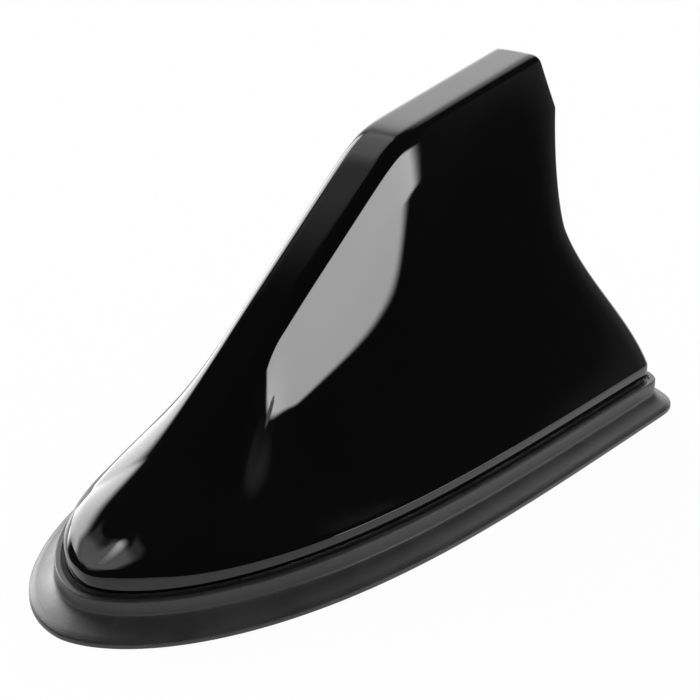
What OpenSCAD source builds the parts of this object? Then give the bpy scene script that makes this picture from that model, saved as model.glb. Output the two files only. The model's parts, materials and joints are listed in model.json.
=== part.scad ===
// Shark fin roof aerial: a gloss cover on a stepped rubber foot, with its base
// plate, boards and radiators inside. +X points to the nose, +Y to the left
// side and +Z up. The underside of the rubber foot lies in the plane z = 0.

/* [Base outline] */
// Nose tip of the foot's upright wall
nose_x = 74.3; // [70:0.1:80]
// Place where the straight sides end and the rear corner starts
side_end_x = -63.5; // [-68:0.1:-58]
// How far the rear edge bows out behind the side ends
rear_bow = 9; // [5:0.5:12]
// Squareness of the rear corners, 2 is an ellipse
corner_power = 3.2; // [2.2:0.1:5]
// Half width that the sides start from
half_w = 32; // [28:0.5:36]
// Extra half width gained towards the rear
half_w_gain = 5.45; // [2:0.05:8]
// How fast the nose fills out
nose_fill = 4.06; // [3:0.02:6]
// Bluntness of the nose, lower is blunter
nose_blunt = 0.56; // [0.5:0.01:0.7]

/* [Rubber foot] */
// Reach of the skirt outside the upright wall at the rear
skirt_reach = 3.6; // [2.5:0.1:5]
// Further reach of the skirt at the nose
skirt_nose = 1.6; // [0:0.1:3]
// Height of the skirt's thin outer edge
skirt_edge_h = 0.9; // [0.5:0.1:1.4]
// Height at which the upright wall meets the skirt
wall_low_z = 3.7; // [3:0.1:4.4]
// Top of the upright wall
wall_top_z = 6.5; // [6:0.1:7]
// Width of the wall's flat top
wall_top_w = 1.3; // [0.8:0.1:1.7]
// Depth of the shadow groove behind the wall
groove_depth = 0.9; // [0.4:0.1:1.5]

/* [Cover] */
// Inset of the cover's lip from the foot's upright wall
lip_gap = 1.85; // [1.6:0.05:2.4]
// Underside of the lip
lip_low_z = 6.9; // [6.7:0.1:7.4]
// Height of the lip's upright band
lip_band_h = 2.8; // [2:0.1:4]
// Wall thickness of the cover
cover_wall = 2.2; // [1.6:0.1:2.6]
// Shoulder where the slope turns into the top strip, fore and aft
shoulder_x = -15.1; // [-20:0.1:-8]
// Height of the shoulder before rounding
shoulder_z = 68.1; // [60:0.1:74]
// Slope of the front spine, rise over run
front_slope = 0.694; // [0.62:0.002:0.74]
// Slope of the top strip, rise over run
top_slope = 0.112; // [0.05:0.002:0.2]
// Softness of the bend at the shoulder
shoulder_soft = 1.34; // [0.8:0.02:3]
// Front end of the spine strip
spine_nose_x = 65.6; // [62:0.1:68]
// Rear tip of the spine strip
tip_x = -65.5; // [-68:0.1:-62]
// Half width of the spine strip at the front
strip_w_front = 5.8; // [4.6:0.1:7]
// Half width of the spine strip at the tail
strip_w_tail = 5.6; // [4.6:0.1:7]
// Rounding along the strip's edges
strip_edge = 2.3; // [1.2:0.1:2.8]
// Softer rounding near the nose
nose_edge = 9; // [5:0.5:12]
// Rearmost point of the beak on the tail
beak_x = -65.3; // [-69:0.1:-62]
// Height share of the beak between lip and spine
beak_share = 0.824; // [0.74:0.002:0.9]
// Foremost point of the tail's waist
waist_x = -53.2; // [-57:0.1:-50]
// Height share of the waist
waist_share = 0.481; // [0.36:0.001:0.58]
// Outward lean of the flanks, run over drop
flank_lean = 0.25; // [0.15:0.01:0.32]
// Fullness of the flanks at the nose, over 1 is convex
nose_full = 3.44; // [2:0.02:5]
// Lateness of the flanks' flare to the lip near the nose, higher is later
flare_front = 4.9; // [3:0.1:6]
// Lateness of that flare at the tail
flare_tail = 1.22; // [1:0.02:2]
// Share of the length over which the full nose turns into leaning flanks
full_share = 0.333; // [0.25:0.001:0.45]

/* [Base plate] */
// Recess of the plate's underside above the roof
plate_z = 1.6; // [1.2:0.1:2]
// Thickness of the plate's floor
floor_t = 2; // [1.6:0.1:2.4]
// Inset of the plate's rim from the foot's upright wall
rim_inset = 2.6; // [2.4:0.1:3]
// Width of the plate's rim
rim_w = 4.4; // [4:0.1:5]
// Width of the sealing groove in the rim
seal_w = 1.8; // [1.4:0.1:2.2]
// Depth of the sealing groove
seal_groove = 2; // [1.6:0.1:2.4]
// Radius of the posts that take the cover screws
post_r = 3.4; // [3:0.1:3.8]
// Distance of the vent from the nose tip
vent_inset = 17.3; // [16:0.1:20]
// Radius of the clearance holes for the cover screws
screw_hole_r = 1.4; // [1.3:0.05:1.6]
// Height of the cover's screw bosses
boss_h = 6.6; // [5:0.1:7]

/* [Fixing and cables] */
// Core radius of the roof bolt's thread
bolt_r = 2.5; // [2:0.1:3]
// Outer radius of the threaded insert
insert_r = 4.2; // [3.6:0.1:4.6]
// Height of the insert above the roof
insert_h = 7.2; // [6:0.1:7.4]
// Cable gland behind the bolt
gland_x = -14; // [-16:0.5:-13]
// Radius of the gland's hole in the plate
gland_r = 4.5; // [4.2:0.1:5]
// Radius of each cable bore
cable_r = 1.6; // [1.2:0.1:1.7]
// Distance of each cable bore from the middle
cable_y = 2.1; // [2:0.1:2.3]
// Inner radius of the foam ring round the roof hole
roof_seal_r = 15; // [14.5:0.5:16]
// Width of that foam ring
roof_seal_w = 4.5; // [3:0.5:6]

/* [Main board] */
// Underside of the main board
board_z = 7.8; // [7.6:0.1:8.4]
// Thickness of the main board
board_t = 1.2; // [0.8:0.1:1.6]
// Clearance between the main board and the cover's screw bosses
board_gap = 1.4; // [0.8:0.1:2]
// Reach of the main board ahead of the patch aerial
board_lead = 2; // [1:0.1:2.5]
// Rear edge of the main board
board_back = -31; // [-33:0.5:-30]
// Height of the screening can
shield_h = 3; // [2.4:0.1:3.6]
// Length of the screening can
shield_l = 20; // [18:0.5:22]
// Side of the square patch aerial
patch_side = 25; // [20:0.5:25]
// Thickness of the patch aerial
patch_t = 4; // [3:0.1:5]
// Height of the telephone blade above the board
blade_h = 16; // [12:0.5:17]

/* [Upright board] */
// Thickness of the upright board
fin_t = 1.6; // [1:0.1:1.8]
// Underside of the upright board over the main board
fin_low = 17; // [16:0.5:20]
// Front edge of the upright board
fin_front = 12; // [6:0.5:14]
// Height of the holder's cheeks above its slab
cheek_h = 14; // [10:0.5:18]
// Thickness of the foam strip under the cover's roof
foam_t = 1.2; // [0.8:0.1:1.6]
// Depth of the folded strip's legs
hat_leg = 3; // [2:0.1:4]
// Turns of the loading coil
coil_turns = 7; // [4:1:8]

/* [Hidden] */

// Steps along each side and round each rear quarter of the outline
side_steps = 26;
rear_steps = 9;
stations = concat([for (i = [0 : side_steps - 1]) i / side_steps],
    [for (i = [0 : rear_steps]) 1 + i / rear_steps]);
ring_n = 2 * (len(stations) - 1);

// Play between pieces that slide into each other
fit = 0.05;
lip_top_z = lip_low_z + lip_band_h;
floor_z = plate_z + floor_t;
rim_in = rim_inset + rim_w;
seal_in = rim_inset + (rim_w - seal_w) / 2;
seal_low_z = lip_low_z - seal_groove;
flange_t = 2;
tongue = 0.7;
groove_z = wall_top_z - groove_depth;
roof_drop = cover_wall * sqrt(1 + front_slope * front_slope);

// Cover screws along the outline, nose first
screw_stations = [0.35, 0.62, 0.93];
boss_inset = rim_in + post_r - 0.6;
pilot_r = screw_hole_r - 0.15;
shank_r = pilot_r - fit;
head_r = 2.3;
head_h = 1.6;
head_z = plate_z + 2.2;

// Boards stand on posts of one height
board_top = board_z + board_t;
rest_r = 2.8;
rest_bore = 1.15;
vent_x = nose_x - vent_inset;
grommet_lip = 1;

// The main board ends behind the front screw bosses and fits between the middle ones
board_front = out_pt(screw_stations[0], -boss_inset)[0] - post_r - board_gap;
board_w = out_pt(screw_stations[1], -boss_inset)[1] - post_r - board_gap;

// Patch aerial at the front of the board, and the rest behind it
pad_t = 0.8;
patch_z = board_top + pad_t;
patch_x = board_front - board_lead - patch_side / 2;
pin_r = 0.5;
pin_x = patch_x - 2;
sheet = 0.3;
shield_x = [patch_x - patch_side / 2 - 1 - shield_l, patch_x - patch_side / 2 - 1];
shield_w = board_w - 5.5;
divider_x = shield_x[0] + shield_l / 2;
chip_y = shield_w / 2;
edge_y = shield_w - 1.6;
socket_x = -22;
socket_y = board_w - 8.5;
board_screw_at = [for (x = [board_back + 4, shield_x[1] - 3]) for (y = [2.5 - board_w, board_w - 2.5]) [x, y]];

// Holder of the upright board
bracket_x = [-58, -36];
bracket_w = 11;
bracket_y = bracket_w - 3;
slab_top = board_z + 2;
bracket_screw_at = [[bracket_x[0] + 4, bracket_y], [bracket_x[1] - 4, -bracket_y]];
bare_rests = [[bracket_x[0] + 4, -bracket_y], [bracket_x[1] - 4, bracket_y], [board_front - 4, 0]];

// Strip along the ridge of the upright board, in the plane of the cover's roof
top_angle = atan(top_slope);
ridge_x = [-58, -24];
foam_top = roof_drop * cos(top_angle) + 2 * fit;
hat_top = foam_top + foam_t;
ridge_drop = (hat_top + sheet) / cos(top_angle);
coil_x = -25.5;
coil_r = 3;
wire_r = 0.45;

// Plain helpers
function mix(a, b, t) = a + (b - a) * t;
function clamp(t) = min(1, max(0, t));
function ease(a, b, x) = let (t = clamp((x - a) / (b - a))) t * t * (3 - 2 * t);

// Outline of the foot's upright wall: s runs 0 at the nose, 1 at the side's end, 2 behind
function wall_pt(s) =
    let (u = pow(clamp(s), 2), v = clamp(s - 1) * 90,
        w = (half_w + half_w_gain * u) * pow(1 - pow(1 - u, nose_fill), nose_blunt))
    [mix(nose_x, side_end_x, u) - rear_bow * pow(sin(v), 2 / corner_power),
        s >= 2 ? 0 : w * pow(cos(v), 2 / corner_power)];

// The same outline moved outwards by d; far inside it shrinks instead, which keeps corners open
function out_pt(s, d) =
    let (p = wall_pt(s), a = wall_pt(max(0, s - 0.001)), b = wall_pt(min(2, s + 0.001)),
        t = b - a, l = norm(t),
        n = s <= 0 ? [1, 0] : s >= 2 ? [-1, 0] : [t[1] / l, -t[0] / l],
        u = pow(clamp(s), 2), v = clamp(s - 1) * 90)
    d > -3.1 ? p + d * n
        : [p[0] + d * (1 - u) - d * pow(sin(v), 2 / corner_power),
            p[1] * (1 + d / (half_w + half_w_gain * u))];

// Spine seen from the side: two straight runs with a soft bend
function spine_z(x) =
    let (a = shoulder_z - (x - shoulder_x) * front_slope,
        b = shoulder_z - (x - shoulder_x) * top_slope)
    -shoulder_soft * ln(exp(-a / shoulder_soft) + exp(-b / shoulder_soft));

// Edge of the tail seen from the side, t is 0 at the spine and 1 at the lip
function tail_edge(t) =
    let (h = 1 - t)
    h < waist_share ? mix(waist_x, side_end_x, ease(0, 1, 1 - h / waist_share))
    : h < beak_share
        ? mix(waist_x, beak_x, pow((h - waist_share) / (beak_share - waist_share), 1.35))
    : mix(beak_x, tip_x, (h - beak_share) / (1 - beak_share));

// Half width of the spine strip, which closes towards the nose
function strip_w(u, lip_y, inset) =
    let (w = mix(strip_w_front, strip_w_tail, u) - inset)
    1 / sqrt(1 / (w * w) + 1 / pow(0.45 * lip_y + 0.001, 2));

// A point of the flank, which leans out and then flares to the lip; inset gives the inner face
function flank(s, t, inset) =
    let (e = out_pt(min(s, 1), -lip_gap - inset), r = out_pt(s, -lip_gap - inset),
        u = pow(clamp(s), 2),
        sx = mix(spine_nose_x - 1.5 * inset, tip_x + inset, u),
        sz = spine_z(sx) - inset * roof_drop / cover_wall,
        w = strip_w(u, e[1], inset),
        plane = max(0, min(0.9, flank_lean * (sz - lip_top_z) / max(1, e[1] - w))),
        flare = pow(t, mix(flare_front, flare_tail, ease(0.2, 1, u))),
        share = mix(1 - pow(1 - t, nose_full), mix(flare, t, plane), ease(0, full_share, u)),
        nose = mix(sx, e[0], 1 - pow(1 - t, 1.8)),
        plain = mix(sx, e[0], t),
        tail = (tail_edge(t) - mix(tip_x, side_end_x, t)) * ease(0.4, 1, u),
        bow = mix(1.2 / rear_bow, 1, pow(t, 0.8)))
    [mix(nose, plain, ease(0, 0.35, u)) + tail + (r[0] - e[0]) * bow,
        e[1] < 0.001 ? 0 : mix(w, e[1], share) * r[1] / e[1],
        mix(sz, lip_top_z, t)];

// Share of the flank's height that the rounding along the strip takes up
function edge_share(s) =
    let (u = pow(clamp(s), 2), top = flank(s, 0, 0)[2])
    min(mix(nose_edge, strip_edge, ease(0, 0.35, u)) / (top - lip_top_z), 0.6);

// A point of the rounding between strip and flank, k is 0 on the strip
function edge_pt(s, k) =
    let (u = pow(clamp(s), 2), b = flank(s, 0, 0), c = flank(s, edge_share(s), 0),
        half = (spine_nose_x - tip_x) / 2, mid = spine_nose_x - half,
        ax = mid + (b[0] - mid) * (1 - strip_edge / half),
        a = [ax, b[1] * (1 - strip_edge / mix(strip_w_front, strip_w_tail, u)), spine_z(ax)])
    pow(1 - k, 2) * a + 2 * k * (1 - k) * b + k * k * c;

// Whole rings of points from one side's points
function whole(half) = concat(half,
    [for (i = [len(half) - 2 : -1 : 1]) [half[i][0], -half[i][1], half[i][2]]]);
function level(d, z) = whole([for (s = stations) concat(out_pt(s, d), [z])]);
function plan(d) = [for (p = level(d, 0)) [p[0], p[1]]];

// Triangles between stacked rings that run down the outside and up the inside
function skin(count) = [for (j = [0 : count - 2]) for (i = [0 : ring_n - 1])
    let (a = j * ring_n + i, b = j * ring_n + (i + 1) % ring_n)
    each [[a, b, b + ring_n], [a, b + ring_n, a + ring_n]]];

// Lid across a ring, from each point to its mirror image
function lid(first, up) = [for (i = [0 : ring_n / 2 - 1])
    let (a = first + i, b = a + 1, c = first + ring_n - i - 1, d = first + (ring_n - i) % ring_n)
    each concat(c == b ? [] : [up ? [c, b, d] : [b, c, d]],
        d == a ? [] : [up ? [d, b, a] : [b, d, a]])];

// Closed ring whose section is a list of levels, first joined to last
module ring_solid(levels) {
    rings = concat(levels, [levels[0]]);
    n = len(levels) * ring_n;
    polyhedron([for (r = levels) each r],
        [for (f = skin(len(rings))) [for (k = f) k % n]]);
}

// Flat ring between two insets of the outline
module flat_ring(outer, inner, low, high) {
    translate([0, 0, low]) linear_extrude(high - low) difference() {
        polygon(plan(-outer));
        polygon(plan(-inner));
    }
}

// Pieces repeated at the cover screws, on both sides
module at_screws(z) {
    for (s = screw_stations)
        for (side = [-1, 1])
            let (p = out_pt(s, -boss_inset))
            translate([p[0], side * p[1], z]) children();
}
module at_points(points, z) {
    for (p = points) translate([p[0], p[1], z]) children();
}
module block(x, y, z) {
    translate([x[0], y[0], z[0]]) cube([x[1] - x[0], y[1] - y[0], z[1] - z[0]]);
}
// Sheet profile seen from the side, centred on y
module side_profile(thick) {
    rotate([90, 0, 0]) linear_extrude(thick, center = true) children();
}
// Screw with its head up, the head's underside at the origin
module screw(r, length, cap_r, cap_h) {
    difference() {
        union() {
            translate([0, 0, -length]) cylinder(r = r, h = length + 0.1, $fn = 24);
            cylinder(r = cap_r, h = cap_h, $fn = 32);
        }
        translate([0, 0, cap_h - 0.7]) cylinder(r = 0.9, h = 1, $fn = 6);
    }
}

// Gloss shell: spine strip, flanks, lip, sealing tongue and screw bosses
module cover() {
    round_steps = 4;
    // Shares of the flank below the edge rounding, close together round the beak
    beak = (1 - beak_share - edge_share(1)) / (1 - edge_share(1));
    outer = concat([0.5 * beak, 0.85 * beak, beak, 1.15 * beak],
        [for (i = [1 : 8]) mix(1.15 * beak, 1, i / 8)]);
    inner = concat([for (i = [0 : 6]) 1 - 0.1 * i],
        [1.15 * (1 - beak_share), 1 - beak_share, 0.1, 0]);
    rings = concat(
        [for (k = [0 : round_steps]) whole([for (s = stations) edge_pt(s, k / round_steps)])],
        [for (q = outer) whole([for (s = stations) flank(s, mix(edge_share(s), 1, q), 0)])],
        [level(-lip_gap, lip_low_z + 0.4), level(-lip_gap - 0.35, lip_low_z),
            level(-seal_in - 0.1, lip_low_z), level(-seal_in - 0.1, lip_low_z - tongue),
            level(0.1 - seal_in - seal_w, lip_low_z - tongue),
            level(0.1 - seal_in - seal_w, lip_low_z), level(-rim_in, lip_low_z),
            level(-rim_in, lip_low_z + flange_t),
            level(-lip_gap - cover_wall, lip_low_z + flange_t)],
        [for (t = inner) whole([for (s = stations) flank(s, t, cover_wall)])]);
    count = len(rings);
    color([0.02, 0.02, 0.02]) difference() {
        union() {
            polyhedron([for (r = rings) each r],
                concat(skin(count), lid(0, true), lid((count - 1) * ring_n, false)));
            at_screws(lip_low_z) cylinder(r = post_r, h = boss_h, $fn = 32);
        }
        at_screws(lip_low_z - 1) cylinder(r = pilot_r, h = boss_h, $fn = 24);
    }
}

// Stepped rubber foot: skirt, upright wall, shadow groove and sealing land
module roof_gasket() {
    reach = [for (s = stations) skirt_reach + skirt_nose * clamp(1 - s)];
    // Skirt rows run down and out: share of the reach, then height
    skirt = concat([for (v = [0.25, 0.5, 0.75, 1])
        [0.8 * pow(v, 1.3), mix(wall_low_z, skirt_edge_h + 0.6, pow(v, 0.75))]],
        [[1, skirt_edge_h], [1, 0]]);
    top = [[0.3 - wall_top_w, wall_top_z], [-0.3, wall_top_z], [0, wall_top_z - 0.3],
        [0, wall_low_z]];
    under = [[-2.7, 0], [-3.2, 0.5], [1.3 - rim_in, 0.5], [0.8 - rim_in, 0], [-rim_in, 0],
        [-rim_in, plate_z], [fit - rim_inset, plate_z], [fit - rim_inset, groove_z],
        [-wall_top_w, groove_z], [-wall_top_w, wall_top_z - 0.3]];
    color([0.12, 0.12, 0.12]) ring_solid(concat(
        [for (p = top) level(p[0], p[1])],
        [for (k = skirt) whole([for (i = [0 : len(stations) - 1])
            concat(out_pt(stations[i], k[0] * reach[i]), [k[1]])])],
        [for (p = under) level(p[0], p[1])]));
}

// Die-cast plate: floor, grooved rim, posts, fixing boss and cross ribs
module base_plate() {
    deep = board_z - plate_z;
    color([0.72, 0.73, 0.75]) difference() {
        union() {
            translate([0, 0, plate_z]) linear_extrude(floor_t) polygon(plan(-rim_inset));
            flat_ring(rim_inset, rim_in, plate_z, lip_low_z);
            at_screws(plate_z) cylinder(r = post_r, h = lip_low_z - plate_z, $fn = 32);
            at_points(concat(board_screw_at, bracket_screw_at, bare_rests), plate_z)
                cylinder(r = rest_r, h = deep, $fn = 32);
            translate([0, 0, plate_z]) cylinder(r = insert_r + 2.3, h = insert_h - plate_z, $fn = 48);
            translate([0, 0, plate_z + 0.5]) linear_extrude(floor_t + 1.5) intersection() {
                polygon(plan(0.5 - rim_in));
                for (x = [-64, -47, -33, 24, 33])
                    translate([x - 0.6, -half_w]) square([1.2, 2 * half_w]);
            }
        }
        flat_ring(seal_in, seal_in + seal_w, seal_low_z, lip_low_z + 1);
        at_screws(0) cylinder(r = screw_hole_r, h = 2 * lip_low_z, $fn = 24);
        at_screws(0) cylinder(r = head_r + 0.3, h = head_z, $fn = 32);
        at_points(concat(board_screw_at, bracket_screw_at), floor_z)
            cylinder(r = rest_bore, h = deep, $fn = 24);
        cylinder(r = insert_r + fit, h = 2 * insert_h, $fn = 48);
        translate([gland_x, 0, 0]) cylinder(r = gland_r, h = 2 * floor_z, $fn = 48);
        translate([vent_x, 0, 0]) cylinder(r = 1.2, h = 2 * floor_z, $fn = 24);
    }
}

// Rubber cord in the plate's groove, pressed by the cover's tongue
module cover_seal() {
    color([0.15, 0.15, 0.16])
        flat_ring(seal_in + fit, seal_in + seal_w - fit, seal_low_z, lip_low_z - tongue);
}

// Screws driven up through the plate into the cover's bosses
module cover_screws() {
    color([0.6, 0.6, 0.62])
        at_screws(head_z) mirror([0, 0, 1]) screw(shank_r, boss_h + 1.5, head_r, head_h);
}

// Threaded insert with a hexagonal flange that bears on the roof
module fixing_insert() {
    color([0.8, 0.62, 0.3]) difference() {
        union() {
            cylinder(r = insert_r + 1.4, h = plate_z, $fn = 6);
            cylinder(r = insert_r, h = insert_h, $fn = 48);
        }
        translate([0, 0, -1]) cylinder(r = bolt_r, h = insert_h + 2, $fn = 40);
    }
}

// Foam ring that seals round the roof hole
module roof_hole_seal() {
    color([0.25, 0.25, 0.26]) translate([gland_x / 2, 0, 0]) difference() {
        cylinder(r = roof_seal_r + roof_seal_w, h = plate_z, $fn = 64);
        translate([0, 0, -1]) cylinder(r = roof_seal_r, h = plate_z + 2, $fn = 64);
    }
}

// Rubber gland snapped into the plate, with a bore for each cable
module cable_grommet() {
    low = plate_z - grommet_lip;
    color([0.1, 0.1, 0.1]) translate([gland_x, 0, 0]) difference() {
        union() {
            translate([0, 0, low]) cylinder(r = gland_r + 1.5, h = grommet_lip, $fn = 40);
            translate([0, 0, low]) cylinder(r = gland_r - fit, h = floor_t + 1.5 * grommet_lip, $fn = 40);
            translate([0, 0, floor_z]) cylinder(r = gland_r + 1, h = grommet_lip, $fn = 40);
        }
        for (side = [-1, 1])
            translate([0, side * cable_y, 0]) cylinder(r = cable_r, h = 2 * floor_z, $fn = 24);
    }
}

// Breathable disc over the plate's vent hole
module vent_patch() {
    color("white") translate([vent_x, 0, floor_z]) cylinder(r = 4, h = 0.3, $fn = 32);
}

// Circuit board with an opening over the cable gland
module main_board() {
    color([0.05, 0.35, 0.2]) difference() {
        translate([0, 0, board_z]) linear_extrude(board_t) intersection() {
            polygon(plan(-rim_in - 1));
            translate([board_back, -board_w]) square([board_front - board_back, 2 * board_w]);
        }
        translate([gland_x, 0, 0]) cylinder(r = gland_r + 0.5, h = 2 * board_top, $fn = 48);
        at_points(board_screw_at, 0) cylinder(r = rest_bore + 0.1, h = 2 * board_top, $fn = 24);
        translate([pin_x, 0, 0]) cylinder(r = pin_r + fit, h = 2 * board_top, $fn = 16);
    }
}

module board_screws() {
    color([0.7, 0.7, 0.72])
        at_points(board_screw_at, board_top) screw(rest_bore - fit, 4.5, 2, 1.3);
}

// Soldered walls of the screening can, with a divider
module shield_frame() {
    color([0.75, 0.75, 0.72]) difference() {
        block(shield_x, [-shield_w, shield_w], [board_top, board_top + shield_h]);
        for (x = [[shield_x[0] + sheet, divider_x], [divider_x + sheet, shield_x[1] - sheet]])
            block(x, [sheet - shield_w, shield_w - sheet], [board_top - 1, board_top + shield_h + 1]);
    }
}

// Pressed lid that snaps over those walls
module shield_lid() {
    gap = fit;
    over = gap + sheet;
    top = board_top + shield_h;
    color([0.8, 0.8, 0.78]) difference() {
        block(shield_x + [-over, over], [-shield_w - over, shield_w + over],
            [top - 1.5, top + sheet]);
        block(shield_x + [-gap, gap], [-shield_w - gap, shield_w + gap], [top - 2, top]);
        for (i = [-2 : 2])
            translate([shield_x[1] - 4, 0.3 * shield_w * i, top - 1]) cylinder(r = 0.8, h = 3, $fn = 16);
    }
}

// Group of like blocks standing on the main board, placed from the can's rear wall
module board_blocks(points, size) {
    at_points(points, board_top) translate([shield_x[0], 0, 0])
        translate([-size[0] / 2, -size[1] / 2, 0]) cube(size);
}
module amplifier_chips() {
    color([0.08, 0.08, 0.09]) board_blocks([[4, chip_y], [4, -chip_y], [15, chip_y]], [4, 4, 0.9]);
}
module signal_filters() {
    color([0.85, 0.8, 0.65]) board_blocks([[5, 0], [14, -chip_y], [15, 0]], [3, 3, 1.2]);
}
module chip_capacitors() {
    color([0.6, 0.45, 0.3])
        board_blocks([for (x = [2, 5, 8, 12, 15, 18]) for (y = [-edge_y, edge_y]) [x, y]], [1.6, 0.8, 0.8]);
}
module chip_coils() {
    color([0.35, 0.3, 0.28])
        board_blocks([for (x = [8, 18.2]) for (y = [-chip_y, chip_y]) [x, y]], [2.4, 2, 1.6]);
}

// Coaxial sockets that face the board's opening
module board_sockets() {
    color([0.9, 0.75, 0.35]) for (side = [-1, 1])
        translate([socket_x, side * socket_y, board_top]) {
            block([-2.2, 2.2], [-2.2, 2.2], [0, 4]);
            translate([2, 0, 2]) rotate([0, 90, 0]) difference() {
                cylinder(r = 1.8, h = 3, $fn = 32);
                translate([0, 0, 0.8]) cylinder(r = 1.4, h = 3, $fn = 32);
            }
            translate([2, 0, 2]) rotate([0, 90, 0]) cylinder(r = 0.4, h = 2.6, $fn = 16);
        }
}

// Sticky foam, ceramic block and feed pin of the patch aerial
module patch_pad() {
    half = patch_side / 2;
    color([0.2, 0.2, 0.2]) difference() {
        block([patch_x - half, patch_x + half], [-half, half], [board_top, patch_z]);
        translate([pin_x, 0, 0]) cylinder(r = pin_r + fit, h = 2 * patch_z, $fn = 16);
    }
}
module patch_ceramic() {
    half = patch_side / 2;
    color([0.86, 0.8, 0.7]) difference() {
        translate([patch_x, 0, patch_z]) linear_extrude(patch_t)
            polygon([[-half, -half], [half, -half], [half, half - 1.5], [half - 1.5, half], [-half, half]]);
        translate([pin_x, 0, 0]) cylinder(r = pin_r + fit, h = 2 * (patch_z + patch_t), $fn = 16);
    }
}
module patch_pin() {
    color([0.85, 0.85, 0.85]) translate([pin_x, 0, 0]) {
        translate([0, 0, board_z - 0.6])
            cylinder(r = pin_r, h = patch_z + patch_t - board_z + 0.7, $fn = 16);
        translate([0, 0, patch_z + patch_t]) cylinder(r = 1.3, h = 0.3, $fn = 24);
    }
}

// Stamped blade for the telephone band, standing on a folded foot
module cell_blade() {
    y = board_w - 2;
    rear = socket_x + 2;
    front = shield_x[1] - 11;
    color([0.78, 0.76, 0.7]) {
        block([rear, front], [y - 1.8, y], [board_top, board_top + 0.4]);
        translate([0, y - 0.2, board_top]) side_profile(0.4) difference() {
            polygon([[rear, 0], [front, 0], [front, 0.7 * blade_h],
                [front - 12, blade_h], [rear, blade_h]]);
            for (x = [rear + 4 : 5 : front - 7])
                translate([x, 3]) square([1.2, blade_h]);
        }
    }
}

// Plastic holder: slab on the posts, two cheeks and their gussets
module fin_bracket() {
    in = fin_t / 2 + fit;
    color([0.92, 0.92, 0.9]) difference() {
        union() {
            block(bracket_x, [-bracket_w, bracket_w], [board_z, slab_top]);
            for (side = [0, 1]) mirror([0, side, 0]) {
                block(bracket_x + [3, -3], [in, in + 1.6], [board_z, slab_top + cheek_h]);
                for (x = [bracket_x[0] + 8, bracket_x[1] - 9.5])
                    translate([x, in + 1, slab_top - 0.1]) rotate([90, 0, 90]) linear_extrude(1.5)
                        polygon([[0, 0], [8, 0], [0.6, cheek_h - 1], [0, cheek_h - 1]]);
            }
        }
        at_points(bracket_screw_at, 0) cylinder(r = rest_bore + 0.1, h = 2 * slab_top, $fn = 24);
    }
}

module bracket_screws() {
    color([0.7, 0.7, 0.72])
        at_points(bracket_screw_at, slab_top) screw(rest_bore - fit, 5.5, 2, 1.3);
}

// Upright board that follows the cover's roof and tail, with a raised track
module fin_board() {
    plane = function (x) shoulder_z - (x - shoulder_x) * top_slope - ridge_drop;
    tail = [for (t = [0.12, 0.21, 0.3, 0.4, 0.5, 0.6, 0.7])
        let (p = flank(2, t, cover_wall)) [p[0] + 1.6, p[2]]];
    rise = [for (x = [-20 : 4 : fin_front - 1]) [x, spine_z(x) - ridge_drop - 0.4]];
    color([0.1, 0.3, 0.18]) {
        side_profile(fin_t) polygon(concat([[ridge_x[0] - 2, plane(ridge_x[0] - 2)]], tail,
            [[bracket_x[0] + 3, slab_top], [bracket_x[1] - 3, slab_top],
                [bracket_x[1], fin_low], [fin_front, fin_low],
                [fin_front, spine_z(fin_front) - ridge_drop - 0.4]],
            [for (i = [len(rise) - 1 : -1 : 0]) rise[i]],
            [[ridge_x[1], plane(ridge_x[1])]]));
        for (i = [0 : 5]) {
            z = 30 + 4.6 * i;
            block([-50, -16], [fin_t / 2 - 0.1, fin_t / 2 + 0.1], [z, z + 1.2]);
            if (i < 5) {
                x = i % 2 == 0 ? -17.2 : -50;
                block([x, x + 1.2], [fin_t / 2 - 0.1, fin_t / 2 + 0.1], [z, z + 5]);
            }
        }
    }
}

// Frame of the cover's roof plane, x along the strip and z down from its top
module in_roof_plane() {
    translate([shoulder_x, 0, shoulder_z]) rotate([0, top_angle, 0])
        translate([(ridge_x[0] - shoulder_x) / cos(top_angle), 0, 0])
        rotate([90, 0, 90]) linear_extrude((ridge_x[1] - ridge_x[0]) / cos(top_angle)) children();
}

// Folded strip over the upright board's ridge
module top_hat() {
    in = fin_t / 2 + fit;
    out = in + sheet;
    brim = out + 1.4;
    low = -hat_top - hat_leg;
    color([0.8, 0.78, 0.72]) in_roof_plane() polygon([[-out, -hat_top], [out, -hat_top],
        [out, low + sheet], [brim, low + sheet], [brim, low], [in, low],
        [in, -hat_top - sheet], [-in, -hat_top - sheet], [-in, low], [-brim, low],
        [-brim, low + sheet], [-out, low + sheet]]);
}

// Foam that keeps the ridge from rattling in the cover
module foam_pad() {
    color([0.3, 0.3, 0.3]) in_roof_plane()
        translate([-1.2, -hat_top]) square([2.4, foam_t]);
}

// Wire coil between the main board and the upright board
module loading_coil() {
    sides = 8;
    per_turn = 20;
    n = coil_turns * per_turn;
    low = board_top + 1.2;
    high = fin_low - 1.2;
    points = [for (i = [0 : n]) for (k = [0 : sides - 1])
        let (a = 360 * i / per_turn, b = 360 * k / sides, r = coil_r + wire_r * cos(b))
        [r * cos(a), r * sin(a), mix(low, high, i / n) + wire_r * sin(b)]];
    faces = concat(
        [for (i = [0 : n - 1]) for (k = [0 : sides - 1])
            let (a = i * sides + k, b = i * sides + (k + 1) % sides)
            each [[a, b, b + sides], [a, b + sides, a + sides]]],
        [[for (k = [sides - 1 : -1 : 0]) k], [for (k = [0 : sides - 1]) n * sides + k]]);
    color([0.75, 0.4, 0.2]) translate([coil_x, 0, 0]) {
        polyhedron(points, faces);
        translate([coil_r, 0, board_top]) cylinder(r = wire_r, h = low - board_top, $fn = 16);
        translate([coil_r, 0, high]) cylinder(r = wire_r, h = fin_low - high, $fn = 16);
    }
}

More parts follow.
